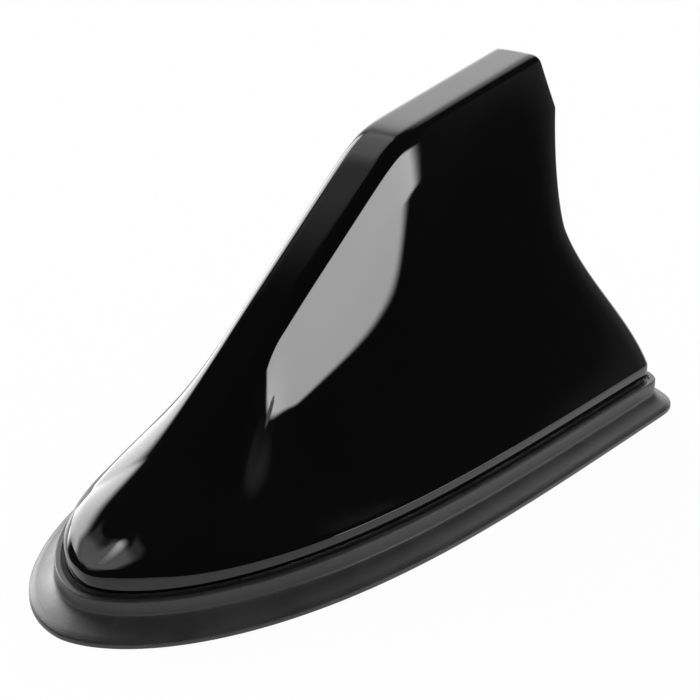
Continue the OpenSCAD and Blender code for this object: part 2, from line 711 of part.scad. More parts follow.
cover();
roof_gasket();
base_plate();
cover_seal();
cover_screws();
fixing_insert();
roof_hole_seal();
cable_grommet();
vent_patch();
main_board();
board_screws();
shield_frame();
shield_lid();
amplifier_chips();
signal_filters();
chip_capacitors();
chip_coils();
board_sockets();
patch_pad();
patch_ceramic();
patch_pin();
cell_blade();
fin_bracket();
bracket_screws();
fin_board();
top_hat();
foam_pad();
loading_coil();
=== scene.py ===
"""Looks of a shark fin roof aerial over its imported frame: shells, finishes, studio and camera."""

import json
import logging
import math
from dataclasses import dataclass, field
from enum import Enum
from typing import Any

import bpy
import numpy as np
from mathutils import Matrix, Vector

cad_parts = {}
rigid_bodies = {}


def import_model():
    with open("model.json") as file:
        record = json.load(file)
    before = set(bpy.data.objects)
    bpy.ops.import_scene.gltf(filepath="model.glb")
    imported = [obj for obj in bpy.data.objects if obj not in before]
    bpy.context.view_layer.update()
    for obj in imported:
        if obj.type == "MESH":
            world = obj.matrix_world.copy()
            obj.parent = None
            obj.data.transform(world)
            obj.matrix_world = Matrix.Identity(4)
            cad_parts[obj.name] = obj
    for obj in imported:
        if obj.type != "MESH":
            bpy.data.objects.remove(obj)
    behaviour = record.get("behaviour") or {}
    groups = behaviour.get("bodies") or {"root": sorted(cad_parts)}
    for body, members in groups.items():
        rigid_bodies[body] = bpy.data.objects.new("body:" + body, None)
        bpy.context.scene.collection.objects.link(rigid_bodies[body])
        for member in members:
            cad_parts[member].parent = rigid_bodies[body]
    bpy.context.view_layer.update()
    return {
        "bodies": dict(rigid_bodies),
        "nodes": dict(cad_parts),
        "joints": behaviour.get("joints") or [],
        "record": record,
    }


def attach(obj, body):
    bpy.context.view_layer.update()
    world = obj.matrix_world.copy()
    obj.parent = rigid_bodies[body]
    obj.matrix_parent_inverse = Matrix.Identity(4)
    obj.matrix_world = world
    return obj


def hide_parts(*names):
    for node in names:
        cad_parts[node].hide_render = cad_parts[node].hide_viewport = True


LOG = logging.getLogger("aerial")
MM = 0.001
BODY = "root"
Value = Any
Points = np.ndarray
Colour = tuple[float, float, float]


def mix(a: Value, b: Value, t: Value) -> Value:
    """Straight blend from a at t 0 to b at t 1."""
    return a + (b - a) * t


def curve(a: Points, b: Points, c: Points, t: float) -> Points:
    """Curve from a at t 0 to c at t 1 whose ends point at b."""
    return (1 - t) ** 2 * a + 2 * t * (1 - t) * b + t * t * c


def ease(low: float, high: float, x: Value) -> Value:
    """Smooth step of x from 0 at low to 1 at high."""
    t = np.clip((x - low) / (high - low), 0.0, 1.0)
    return t * t * (3 - 2 * t)


@dataclass(frozen=True)
class FootOutline:
    """Plan outline of the foot's upright wall, in millimetres.

    A station s runs 0 at the nose, 1 at the end of the side and 2 at the middle of the rear.
    """

    nose_x: float = 74.3
    side_end_x: float = -63.5
    rear_bow: float = 9.0
    corner_power: float = 3.2
    half_w: float = 32.0
    half_w_gain: float = 5.45
    nose_fill: float = 4.06
    nose_blunt: float = 0.56
    shrink_from: float = -3.1

    def wall(self, s: Points) -> tuple[Points, Points]:
        """Point of the wall at each station.

        Args:
            s: Stations from 0 to 2.

        Returns:
            x and y of the left half.
        """
        u = np.clip(s, 0, 1) ** 2
        turn = np.radians(np.clip(s - 1, 0, 1) * 90)
        y = (self.half_w + self.half_w_gain * u) * (1 - (1 - u) ** self.nose_fill) ** self.nose_blunt
        power = 2 / self.corner_power
        x = mix(self.nose_x, self.side_end_x, u) - self.rear_bow * np.sin(turn) ** power
        return x, np.where(s >= 2, 0.0, y * np.clip(np.cos(turn), 0, 1) ** power)

    def offset(self, s: Points, d: Value) -> tuple[Points, Points]:
        """The wall moved outwards; far inside it shrinks instead, as the plate's rim does.

        Args:
            s: Stations from 0 to 2.
            d: Distance outwards.

        Returns:
            x and y of the left half.
        """
        x, y = self.wall(s)
        ax, ay = self.wall(np.maximum(s - 0.001, 0))
        bx, by = self.wall(np.minimum(s + 0.001, 2))
        length = np.hypot(bx - ax, by - ay)
        nx = np.where(s <= 0, 1.0, np.where(s >= 2, -1.0, (by - ay) / length))
        ny = np.where((s <= 0) | (s >= 2), 0.0, -(bx - ax) / length)
        u = np.clip(s, 0, 1) ** 2
        turn = np.radians(np.clip(s - 1, 0, 1) * 90)
        shrunk_x = x + d * (1 - u) - d * np.sin(turn) ** (2 / self.corner_power)
        shrunk_y = y * (1 + d / (self.half_w + self.half_w_gain * u))
        near = np.asarray(d) > self.shrink_from
        return np.where(near, x + nx * d, shrunk_x), np.where(near, y + ny * d, shrunk_y)


@dataclass(frozen=True)
class FinForm:
    """Outer form of the cover above its lip, in millimetres."""

    outline: FootOutline = field(default_factory=FootOutline)
    lip_gap: float = 1.85
    lip_low_z: float = 6.9
    lip_top_z: float = 9.7
    wall_t: float = 2.2
    shoulder_x: float = -15.1
    shoulder_z: float = 68.1
    front_slope: float = 0.694
    top_slope: float = 0.112
    shoulder_soft: float = 1.34
    spine_nose_x: float = 65.6
    tip_x: float = -65.5
    strip_w_front: float = 5.8
    strip_w_tail: float = 5.6
    strip_edge: float = 2.3
    nose_edge: float = 9.0
    beak_x: float = -65.3
    beak_share: float = 0.824
    waist_x: float = -53.2
    waist_share: float = 0.481
    flank_lean: float = 0.25
    nose_full: float = 3.44
    flare_front: float = 4.9
    flare_tail: float = 1.22
    full_share: float = 0.333

    def spine_z(self, x: Points) -> Points:
        """Height of the spine strip.

        Args:
            x: Places along the strip.

        Returns:
            Height at each place, rounded at the shoulder.
        """
        front = self.shoulder_z - (x - self.shoulder_x) * self.front_slope
        top = self.shoulder_z - (x - self.shoulder_x) * self.top_slope
        soft = self.shoulder_soft
        return -soft * np.logaddexp(-front / soft, -top / soft)

    def tail_edge(self, t: Points) -> Points:
        """Outline of the tail seen from the side.

        Args:
            t: Height share, 0 at the spine and 1 at the lip.

        Returns:
            x of the tail's edge.
        """
        h = 1 - t
        side = self.outline.side_end_x
        low = mix(self.waist_x, side, ease(0, 1, 1 - h / self.waist_share))
        rise = np.clip((h - self.waist_share) / (self.beak_share - self.waist_share), 0, None)
        middle = mix(self.waist_x, self.beak_x, rise**1.35)
        high = mix(self.beak_x, self.tip_x, (h - self.beak_share) / (1 - self.beak_share))
        return np.where(h < self.waist_share, low, np.where(h < self.beak_share, middle, high))

    def flank(self, s: Points, t: Value, inset: float = 0.0) -> Points:
        """Points of the flank.

        Args:
            s: Stations along the outline.
            t: Height share, 0 at the spine and 1 at the lip.
            inset: Distance inside the outer face.

        Returns:
            An array of x, y and z for each station.
        """
        o = self.outline
        ex, ey = o.offset(np.minimum(s, 1), -self.lip_gap - inset)
        rx, ry = o.offset(s, -self.lip_gap - inset)
        u = np.clip(s, 0, 1) ** 2
        sx = mix(self.spine_nose_x - 1.5 * inset, self.tip_x + inset, u)
        sz = self.spine_z(sx) - inset * math.hypot(1, self.front_slope)
        strip = mix(self.strip_w_front, self.strip_w_tail, u) - inset
        w = 1 / np.sqrt(1 / strip**2 + 1 / (0.45 * ey + 0.001) ** 2)
        plane = np.clip(self.flank_lean * (sz - self.lip_top_z) / np.maximum(ey - w, 1), 0, 0.9)
        flare = t ** mix(self.flare_front, self.flare_tail, ease(0.2, 1, u))
        lower = mix(flare, t, plane)
        share = mix(1 - (1 - t) ** self.nose_full, lower, ease(0, self.full_share, u))
        nose = mix(sx, ex, 1 - (1 - t) ** 1.8)
        plain = mix(sx, ex, t)
        tail = (self.tail_edge(t + 0 * s) - mix(self.tip_x, o.side_end_x, t)) * ease(0.4, 1, u)
        bow = mix(1.2 / o.rear_bow, 1, t**0.8)
        x = mix(nose, plain, ease(0, 0.35, u)) + tail + (rx - ex) * bow
        y = np.where(ey < 0.001, 0.0, mix(w, ey, share) * ry / np.maximum(ey, 0.001))
        return np.stack([x, y, mix(sz, self.lip_top_z, t)], -1)

    def edge_share(self, s: Points) -> Points:
        """Share of the flank's height taken by the rounding along the strip.

        Args:
            s: Stations along the outline.

        Returns:
            The share at each station.
        """
        u = np.clip(s, 0, 1) ** 2
        top = self.flank(s, 0.0)[:, 2]
        reach = mix(self.nose_edge, self.strip_edge, ease(0, 0.35, u))
        return np.minimum(reach / (top - self.lip_top_z), 0.6)

    def rounding(self, s: Points, k: float) -> Points:
        """Points of the rounding between strip and flank.

        Args:
            s: Stations along the outline.
            k: Place in the rounding, 0 on the strip and 1 on the flank.

        Returns:
            An array of x, y and z for each station.
        """
        u = np.clip(s, 0, 1) ** 2
        b = self.flank(s, 0.0)
        c = self.flank(s, self.edge_share(s))
        half = (self.spine_nose_x - self.tip_x) / 2
        middle = self.spine_nose_x - half
        ax = middle + (b[:, 0] - middle) * (1 - self.strip_edge / half)
        ay = b[:, 1] * (1 - self.strip_edge / mix(self.strip_w_front, self.strip_w_tail, u))
        a = np.stack([ax, ay, self.spine_z(ax)], -1)
        return curve(a, b, c, k)


def whole(half: Points) -> Points:
    """Closes a half ring with its mirror image, nose and rear points kept once."""
    mirrored = half[-2:0:-1] * np.array([1, -1, 1])
    return np.concatenate([half, mirrored])


def flat_level(outline: FootOutline, s: Points, d: Value, z: Value) -> Points:
    """Whole ring at height z, moved outwards from the wall by d."""
    x, y = outline.offset(s, d)
    return whole(np.stack([x, y, z + 0 * x], -1))


def stations(side: int, rear: int) -> Points:
    """Stations close together at the nose and round the rear corners.

    Args:
        side: Steps along the side.
        rear: Steps from the side's end to the middle of the rear.

    Returns:
        Rising stations from 0 to 2.
    """
    along = np.linspace(0, 1, side, endpoint=False)
    round_rear = np.linspace(0, 1, rear + 1)
    return np.concatenate([along, 1 + round_rear])


@dataclass
class RingMesh:
    """Mesh made of stacked rings of equal length."""

    rings: list[Points] = field(default_factory=list)

    def add(self, *rings: Points) -> None:
        """Adds rings that follow the last one."""
        self.rings.extend(rings)

    def faces(self, closed: bool) -> list[tuple[int, ...]]:
        """Quads between neighbouring rings.

        Args:
            closed: True joins the last ring to the first.

        Returns:
            Corner indices that turn anticlockwise seen from outside.
        """
        n = len(self.rings[0])
        count = len(self.rings)
        rows = count if closed else count - 1
        i = np.arange(n)
        j = (i + 1) % n
        out = []
        for row in range(rows):
            a, b = row * n, ((row + 1) % count) * n
            out.extend(zip((a + i).tolist(), (b + i).tolist(), (b + j).tolist(), (a + j).tolist()))
        return out

    def lid(self, row: int, steps: int, up: bool, extra: int) -> tuple[Points, list[tuple[int, ...]]]:
        """Closes a ring with strips that run across it.

        Args:
            row: Ring to close.
            steps: Faces across the middle.
            up: True turns the lid's outside upwards.
            extra: Index that the first new point gets.

        Returns:
            The new points and the lid's faces.
        """
        ring = self.rings[row]
        n = len(ring)
        half = n // 2
        base = row * n
        grid = np.zeros((half + 1, steps + 1), int)
        points = []
        for i in range(half + 1):
            left, right = ring[i], ring[(n - i) % n]
            for k in range(steps + 1):
                if i in (0, half) or k == 0:
                    grid[i, k] = base + i
                elif k == steps:
                    grid[i, k] = base + n - i
                else:
                    grid[i, k] = extra + len(points)
                    points.append(mix(left, right, k / steps))
        faces = []
        for i in range(half):
            for k in range(steps):
                loop = [grid[i, k], grid[i + 1, k], grid[i + 1, k + 1], grid[i, k + 1]]
                corners = list(dict.fromkeys(int(v) for v in loop))
                if len(corners) > 2:
                    faces.append(tuple(corners if up else corners[::-1]))
        return np.array(points).reshape(-1, 3), faces


def make_object(name: str, points: Points, faces: list[tuple[int, ...]]) -> bpy.types.Object:
    """Makes a smooth mesh object at the origin.

    Args:
        name: Name of the object.
        points: Its points in millimetres.
        faces: Corner indices of its faces.

    Returns:
        The object, linked to the scene.
    """
    mesh = bpy.data.meshes.new(name)
    mesh.from_pydata((points * MM).tolist(), [], faces)
    mesh.validate()
    mesh.shade_smooth()
    obj = bpy.data.objects.new(name, mesh)
    bpy.context.scene.collection.objects.link(obj)
    return obj


class Socket:
    """A node socket with arithmetic, so shader maths reads as an expression."""

    def __init__(self, tree: "ShaderTree", socket: bpy.types.NodeSocket) -> None:
        """Wraps one output socket of a tree."""
        self.tree = tree
        self.socket = socket

    def _math(self, operation: str, *values: Value) -> "Socket":
        """Result of a Math node on these values."""
        return self.tree.node("ShaderNodeMath", {"operation": operation}, dict(enumerate(values)))[0]

    def __add__(self, other: Value) -> "Socket":
        """Sum."""
        return self._math("ADD", self, other)

    def __radd__(self, other: Value) -> "Socket":
        """Sum with a number on the left."""
        return self._math("ADD", other, self)

    def __sub__(self, other: Value) -> "Socket":
        """Difference."""
        return self._math("SUBTRACT", self, other)

    def __rsub__(self, other: Value) -> "Socket":
        """Difference from a number on the left."""
        return self._math("SUBTRACT", other, self)

    def __mul__(self, other: Value) -> "Socket":
        """Product."""
        return self._math("MULTIPLY", self, other)

    def __rmul__(self, other: Value) -> "Socket":
        """Product with a number on the left."""
        return self._math("MULTIPLY", other, self)

    def turn(self, x: Value) -> "Socket":
        """Angle in degrees, from 0 to 360, of the direction whose y is this value."""
        angle = self._math("ARCTAN2", self, x) * math.degrees(1)
        return angle + 360 * self._math("LESS_THAN", angle, 0.0)

    def climb(self) -> "Socket":
        """Height angle in degrees of a direction whose z is this value."""
        return self._math("ARCSINE", self) * math.degrees(1)

    def size(self) -> "Socket":
        """Value without its sign."""
        return self._math("ABSOLUTE", self)

    def clamp(self) -> "Socket":
        """Value kept between 0 and 1."""
        return self._math("MINIMUM", self._math("MAXIMUM", self, 0.0), 1.0)

    def step(self, low: float, high: float) -> "Socket":
        """Smooth step from 0 at low to 1 at high."""
        settings = {"interpolation_type": "SMOOTHSTEP"}
        return self.tree.node("ShaderNodeMapRange", settings, {0: self, 1: low, 2: high})[0]


class ShaderTree:
    """Node tree of a material or a world, built by one node method."""

    def __init__(self, owner: bpy.types.Material | bpy.types.World) -> None:
        """Clears the owner's tree and keeps it.

        Args:
            owner: Material or world that the tree belongs to.
        """
        owner.use_nodes = True
        self.tree = owner.node_tree
        self.tree.nodes.clear()

    def node(self, kind: str, settings: dict[str, Value], values: dict[Value, Value]) -> list[Socket]:
        """Adds a node.

        Args:
            kind: Node type.
            settings: Properties, set before the sockets.
            values: Number, tuple or Socket for each input, by name or index.

        Returns:
            The node's outputs that are switched on.
        """
        made = self.tree.nodes.new(kind)
        for key, value in settings.items():
            setattr(made, key, value)
        for key, value in values.items():
            target = made.inputs[key]
            if isinstance(value, Socket):
                self.tree.links.new(value.socket, target)
            else:
                target.default_value = value
        return [Socket(self, out) for out in made.outputs if out.enabled]

    def rays(self) -> tuple[Socket, Socket, Socket]:
        """One on camera rays, on glossy rays and on transmission rays."""
        path = self.node("ShaderNodeLightPath", {}, {})
        return path[0], path[3], path[6]

    def place(self) -> Socket:
        """Object coordinates in metres."""
        return self.node("ShaderNodeTexCoord", {}, {})[3]

    def noise(self, size_mm: float, detail: float = 2.0) -> Socket:
        """Noise from 0 to 1 whose lumps are about size_mm across."""
        values = {"Vector": self.place(), "Scale": 1 / (size_mm * MM), "Detail": detail}
        return self.node("ShaderNodeTexNoise", {}, values)[0]

    def blend(self, low: Colour, high: Colour, factor: Socket) -> Socket:
        """Colour between low and high."""
        values = {0: factor, 6: (*low, 1.0), 7: (*high, 1.0)}
        return self.node("ShaderNodeMix", {"data_type": "RGBA"}, values)[0]

    def bump(self, height: Socket, depth_mm: float, strength: float) -> Socket:
        """Normal bent by a height whose full range is depth_mm."""
        values = {"Height": height, "Distance": depth_mm * MM, "Strength": strength}
        return self.node("ShaderNodeBump", {}, values)[0]


@dataclass(frozen=True)
class Finish:
    """How a surface looks: colours, gloss and the grain on it."""

    name: str
    dark: Colour
    light: Colour
    rough_low: float
    rough_high: float
    lump_mm: float
    grain_mm: float
    depth_mm: float
    metallic: float = 0.0
    specular: float = 0.5
    coat: float = 0.0

    def colour(self, tree: ShaderTree, mixed: Socket) -> Socket:
        """Colour over the surface, from the blend of lumps and grain."""
        return tree.blend(self.dark, self.light, mixed)

    def shine(self, tree: ShaderTree, mixed: Socket) -> dict[str, Value]:
        """Roughness and metal of the surface."""
        rough = mix(self.rough_low, self.rough_high, mixed)
        return {"Roughness": rough, "Metallic": self.metallic}

    def material(self) -> bpy.types.Material:
        """Procedural material with broad colour lumps and a fine grain.

        Returns:
            The material.
        """
        owner = bpy.data.materials.new(self.name)
        tree = ShaderTree(owner)
        lumps = tree.noise(self.lump_mm, 3.0)
        grain = tree.noise(self.grain_mm, 2.0)
        mixed = (0.7 * lumps + 0.3 * grain).step(0.3, 0.7)
        shader = tree.node(
            "ShaderNodeBsdfPrincipled",
            {},
            {
                "Base Color": self.colour(tree, mixed),
                **self.shine(tree, mixed),
                "Specular IOR Level": self.specular,
                "Coat Weight": self.coat,
                "Coat Roughness": 0.03,
                "Normal": tree.bump(grain, self.depth_mm, 1.0),
            },
        )
        tree.node("ShaderNodeOutputMaterial", {}, {"Surface": shader[0]})
        return owner


@dataclass(frozen=True)
class BoardFinish(Finish):
    """Solder mask with paler tracks that run under it."""

    track_mm: float = 3.2
    track_edge: tuple[float, float] = (0.035, 0.06)

    def colour(self, tree: ShaderTree, mixed: Socket) -> Socket:
        """Mask colour with straight tracks, paler where copper lies below.

        Args:
            tree: Tree of the material.
            mixed: Blend of lumps and grain.

        Returns:
            The colour's socket.
        """
        values = {"Vector": tree.place(), "Scale": 1 / (self.track_mm * MM)}
        edge = tree.node("ShaderNodeTexVoronoi", {"feature": "DISTANCE_TO_EDGE"}, values)[0]
        track = 1 - edge.step(*self.track_edge)
        return tree.blend(self.dark, self.light, (0.35 * mixed + 0.65 * track).clamp())


@dataclass(frozen=True)
class SilverFace(Finish):
    """Fired ceramic whose upper face carries a silver square."""

    centre_mm: float = 29.52
    half_mm: float = 11.2
    top_mm: float = 13.8
    edge_mm: float = 0.02
    silver_rough: float = 0.28
    silver_light: Colour = (0.78, 0.77, 0.74)

    def silver(self, tree: ShaderTree) -> Socket:
        """Mask of the silver square.

        Args:
            tree: Tree of the material.

        Returns:
            One on the silver, zero on the bare ceramic.
        """
        x, y, z = tree.node("ShaderNodeSeparateXYZ", {}, {0: tree.place()})
        low, high = (self.half_mm - self.edge_mm) * MM, (self.half_mm + self.edge_mm) * MM
        along = 1 - (x - self.centre_mm * MM).size().step(low, high)
        across = 1 - y.size().step(low, high)
        face = z.step((self.top_mm - 3 * self.edge_mm) * MM, (self.top_mm - 1.5 * self.edge_mm) * MM)
        return along * across * face

    def colour(self, tree: ShaderTree, mixed: Socket) -> Socket:
        """Ceramic colour, or silver on the square."""
        values = {0: self.silver(tree), 6: super().colour(tree, mixed), 7: (*self.silver_light, 1.0)}
        return tree.node("ShaderNodeMix", {"data_type": "RGBA"}, values)[0]

    def shine(self, tree: ShaderTree, mixed: Socket) -> dict[str, Value]:
        """Roughness and metal, brighter on the silver."""
        silver = self.silver(tree)
        return {"Roughness": mix(self.rough_low, self.silver_rough, silver) + 0.1 * mixed, "Metallic": silver}


class Slot(Enum):
    """Material slots of the record, each with its finish."""

    COVER = Finish("cover_gloss", (5e-4, 5e-4, 6e-4), (9e-4, 9e-4, 1e-3), 0.02, 0.03, 30, 4, 0.0002)
    GASKET = Finish("gasket_rubber", (0.027, 0.027, 0.028), (0.043, 0.043, 0.044), 0.32, 0.44, 9, 0.4, 0.03)
    PLATE = Finish("cast_plate", (0.52, 0.53, 0.55), (0.66, 0.67, 0.68), 0.36, 0.5, 12, 0.6, 0.03, 1.0)
    SEAL = Finish("seal_rubber", (0.02, 0.02, 0.022), (0.035, 0.035, 0.037), 0.35, 0.5, 6, 0.3, 0.01)
    SCREW = Finish("zinc_screws", (0.55, 0.55, 0.57), (0.7, 0.7, 0.72), 0.22, 0.35, 2, 0.2, 0.003, 1.0)
    BRASS = Finish("turned_brass", (0.7, 0.5, 0.2), (0.85, 0.66, 0.32), 0.2, 0.32, 3, 0.2, 0.003, 1.0)
    FOAM = Finish("black_foam", (0.03, 0.03, 0.032), (0.075, 0.075, 0.08), 0.85, 0.95, 2, 0.5, 0.12)
    MEMBRANE = Finish("white_membrane", (0.75, 0.75, 0.74), (0.9, 0.9, 0.89), 0.7, 0.85, 1.5, 0.15, 0.01)
    BOARD = BoardFinish("board_green", (0.012, 0.11, 0.045), (0.02, 0.17, 0.075), 0.22, 0.34, 8, 0.4, 0.004)
    TIN = Finish("tinned_sheet", (0.55, 0.54, 0.5), (0.74, 0.73, 0.7), 0.22, 0.38, 5, 0.3, 0.002, 1.0)
    CHIP = Finish("chip_black", (0.012, 0.012, 0.013), (0.03, 0.03, 0.032), 0.45, 0.6, 1.5, 0.1, 0.003)
    FILTER = Finish("filter_ceramic", (0.62, 0.55, 0.38), (0.8, 0.73, 0.56), 0.3, 0.45, 1.5, 0.1, 0.002)
    CAPACITOR = Finish("capacitor_brown", (0.3, 0.18, 0.1), (0.45, 0.3, 0.18), 0.35, 0.5, 0.8, 0.1, 0.002)
    FERRITE = Finish("ferrite_grey", (0.05, 0.048, 0.045), (0.12, 0.115, 0.11), 0.5, 0.7, 1, 0.1, 0.01)
    CERAMIC = SilverFace("patch_ceramic", (0.62, 0.54, 0.42), (0.78, 0.7, 0.58), 0.4, 0.55, 6, 0.3, 0.006)
    PLASTIC = Finish("white_plastic", (0.68, 0.68, 0.64), (0.82, 0.82, 0.79), 0.35, 0.48, 10, 0.5, 0.006)
    COPPER = Finish(
        "copper_wire", (0.6, 0.24, 0.1), (0.8, 0.42, 0.22), 0.15, 0.25, 1.5, 0.1, 0.001, 1.0, coat=0.6
    )


@dataclass
class Workshop:
    """Makes each finish once and puts pieces on the frame."""

    frame: dict[str, Value]
    made: dict[Slot, bpy.types.Material] = field(default_factory=dict)

    def finish(self, slot: Slot) -> bpy.types.Material:
        """Material of a slot, made on first use.

        Args:
            slot: The slot.

        Returns:
            Its material.
        """
        if slot not in self.made:
            self.made[slot] = slot.value.material()
        return self.made[slot]

    def dress_node(self, node: str, slot: Slot) -> None:
        """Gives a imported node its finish.

        Args:
            node: Name of the node.
            slot: Material slot it uses.
        """
        obj = self.frame["nodes"][node]
        obj.data.materials.clear()
        obj.data.materials.append(self.finish(slot))
        LOG.info("dressed %s in %s", node, slot.value.name)

    def fit(self, obj: bpy.types.Object, slot: Slot, *nodes: str) -> None:
        """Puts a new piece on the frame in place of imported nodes.

        Args:
            obj: The piece.
            slot: Material slot it uses.
            nodes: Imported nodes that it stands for.
        """
        obj.data.materials.clear()
        obj.data.materials.append(self.finish(slot))
        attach(obj, BODY)
        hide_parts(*nodes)
        LOG.info("built %s with %d faces", obj.name, len(obj.data.polygons))


@dataclass
class Cover:
    """Gloss cover: fin, lip, sealing tongue and inner face, as one closed shell."""

    form: FinForm = field(default_factory=FinForm)
    side_steps: int = 150
    rear_steps: int = 48
    lip_round: float = 0.35
    tongue_h: float = 0.7
    flange_t: float = 2.0
    rim_inset: float = 2.6
    rim_w: float = 4.4
    seal_w: float = 1.8
    seal_gap: float = 0.1
    strip_rings: int = 11
    beak_rings: int = 14
    flank_rings: int = 62
    inner_rings: int = 24

    def outside(self, s: Points) -> list[Points]:
        """Spine strip and flank, down to the lip's rounded top edge.

        Args:
            s: Stations along the outline.

        Returns:
            Rings from the top down.
        """
        f = self.form
        share = f.edge_share(s)
        end = self.lip_start(s)
        tail_share = share[-1]
        beak = (1 - f.beak_share - tail_share) / (end[-1] - tail_share)
        upper = np.linspace(0, beak, self.beak_rings)[1:]
        lower = np.linspace(beak, 1, self.flank_rings)[1:]
        levels = np.concatenate([upper, lower])
        rings = [whole(f.rounding(s, k)) for k in np.linspace(0, 1, self.strip_rings)]
        return rings + [whole(f.flank(s, mix(share, end, q))) for q in levels]

    def lip_start(self, s: Points) -> Points:
        """Height share at which the flank gives way to the lip's rounded top edge."""
        top = self.form.flank(s, 0.0)[:, 2]
        return 1 - self.lip_round / (top - self.form.lip_top_z)

    def lip(self, s: Points) -> list[Points]:
        """Rounded edges of the lip and its upright band.

        Args:
            s: Stations along the outline.

        Returns:
            Rings from the top down.
        """
        f = self.form
        low = f.lip_low_z
        edge = whole(f.flank(s, 1.0))
        above = whole(f.flank(s, self.lip_start(s)))
        below = edge - np.array([0, 0, self.lip_round])
        foot = edge - np.array([0, 0, f.lip_top_z - low - self.lip_round])
        rings = [curve(above, edge, below, k) for k in np.linspace(0.1, 1, 8)]
        rings += [mix(below, foot, k) for k in (0.5, 1)]
        for a in np.radians(np.linspace(15, 90, 6)):
            inset = self.lip_round * (1 - math.cos(a))
            height = low + self.lip_round * (1 - math.sin(a))
            rings.append(flat_level(f.outline, s, -f.lip_gap - inset, height))
        return rings

    def inside(self, s: Points) -> list[Points]:
        """Sealing tongue, flange and inner face.

        Args:
            s: Stations along the outline.

        Returns:
            Rings from the lip's foot up to the roof's inner side.
        """
        f = self.form
        low = f.lip_low_z
        seal_in = self.rim_inset + (self.rim_w - self.seal_w) / 2 + self.seal_gap
        seal_out = seal_in + self.seal_w - 2 * self.seal_gap
        rim_in = self.rim_inset + self.rim_w
        path = [(seal_in, low), (seal_in, low - self.tongue_h), (seal_out, low - self.tongue_h),
                (seal_out, low), (rim_in, low), (rim_in, low + self.flange_t),
                (f.lip_gap + f.wall_t, low + self.flange_t)]
        rings = [flat_level(f.outline, s, -d, z) for d, z in path]
        return rings + [whole(f.flank(s, t, f.wall_t)) for t in np.linspace(1, 0, self.inner_rings)]

    def build(self, shop: Workshop) -> bpy.types.Object:
        """Builds the cover and fits it.

        Args:
            shop: Workshop that holds the frame.

        Returns:
            The finished piece.
        """
        s = stations(self.side_steps, self.rear_steps)
        shell = RingMesh()
        shell.add(*self.outside(s), *self.lip(s), *self.inside(s))
        points = np.concatenate(shell.rings)
        faces = shell.faces(False)
        for row, up in ((0, True), (len(shell.rings) - 1, False)):
            extra, lid = shell.lid(row, 8 if up else 2, up, len(points))
            points = np.concatenate([points, extra])
            faces += lid
        obj = make_object("fin_cover", points, faces)
        shop.fit(obj, Slot.COVER, "cover")
        return obj


@dataclass
class RoofGasket:
    """Stepped rubber foot with its flared skirt, upright wall and shadow groove."""

    outline: FootOutline = field(default_factory=FootOutline)
    side_steps: int = 150
    rear_steps: int = 48
    skirt_reach: float = 3.6
    skirt_nose: float = 1.6
    edge_h: float = 0.9
    wall_low_z: float = 3.7
    wall_top_z: float = 6.5
    wall_top_w: float = 1.3
    groove_depth: float = 0.9
    plate_z: float = 1.6
    rim_inset: float = 2.6
    rim_in: float = 7.0
    soft: float = 0.3
    fit: float = 0.05

    def profile(self) -> list[tuple[float, float, float]]:
        """Section from the wall's top round the outside and back up the inside.

        Returns:
            Share of the skirt's reach, distance outside the wall and height of each point.
        """
        top, soft = self.wall_top_z, self.soft
        points = [(0, soft - self.wall_top_w, top)]
        for a in np.radians(np.linspace(0, 90, 6)):
            points.append((0, -soft * (1 - math.sin(a)), top - soft * (1 - math.cos(a))))
        points += [(0, 0, mix(top - soft, self.wall_low_z, k)) for k in (0.3, 0.6, 0.85, 1)]
        brow = self.edge_h + 0.6
        for v in np.linspace(0.04, 1, 14):
            points.append((0.8 * v**1.3, 0, mix(self.wall_low_z, brow, v**0.75)))
        points += [(0.93, 0, self.edge_h + 0.22), (0.985, 0, self.edge_h + 0.06), (1, 0, self.edge_h - 0.06)]
        points += [(1, 0, 0.12), (0.98, 0, 0)]
        points += [(0, -2.7, 0), (0, -3.2, 0.5), (0, 1.3 - self.rim_in, 0.5), (0, 0.8 - self.rim_in, 0)]
        groove = top - self.groove_depth
        rim = self.fit - self.rim_inset
        points += [(0, -self.rim_in, 0), (0, -self.rim_in, self.plate_z), (0, rim, self.plate_z)]
        points += [(0, rim, groove), (0, -self.wall_top_w, groove)]
        for a in np.radians(np.linspace(0, 75, 4)):
            points.append((0, -self.wall_top_w + soft * (1 - math.cos(a)), top - soft * (1 - math.sin(a))))
        return points

    def build(self, shop: Workshop) -> bpy.types.Object:
        """Builds the foot and fits it.

        Args:
            shop: Workshop that holds the frame.

        Returns:
            The finished piece.
        """
        s = stations(self.side_steps, self.rear_steps)
        reach = self.skirt_reach + self.skirt_nose * np.clip(1 - s, 0, 1)
        shell = RingMesh()
        for share, d, z in self.profile():
            x, y = self.outline.offset(s, share * reach + d)
            shell.add(whole(np.stack([x, y, z + 0 * x], -1)))
        obj = make_object("foot_gasket", np.concatenate(shell.rings), shell.faces(True))
        shop.fit(obj, Slot.GASKET, "roof_gasket")
        return obj


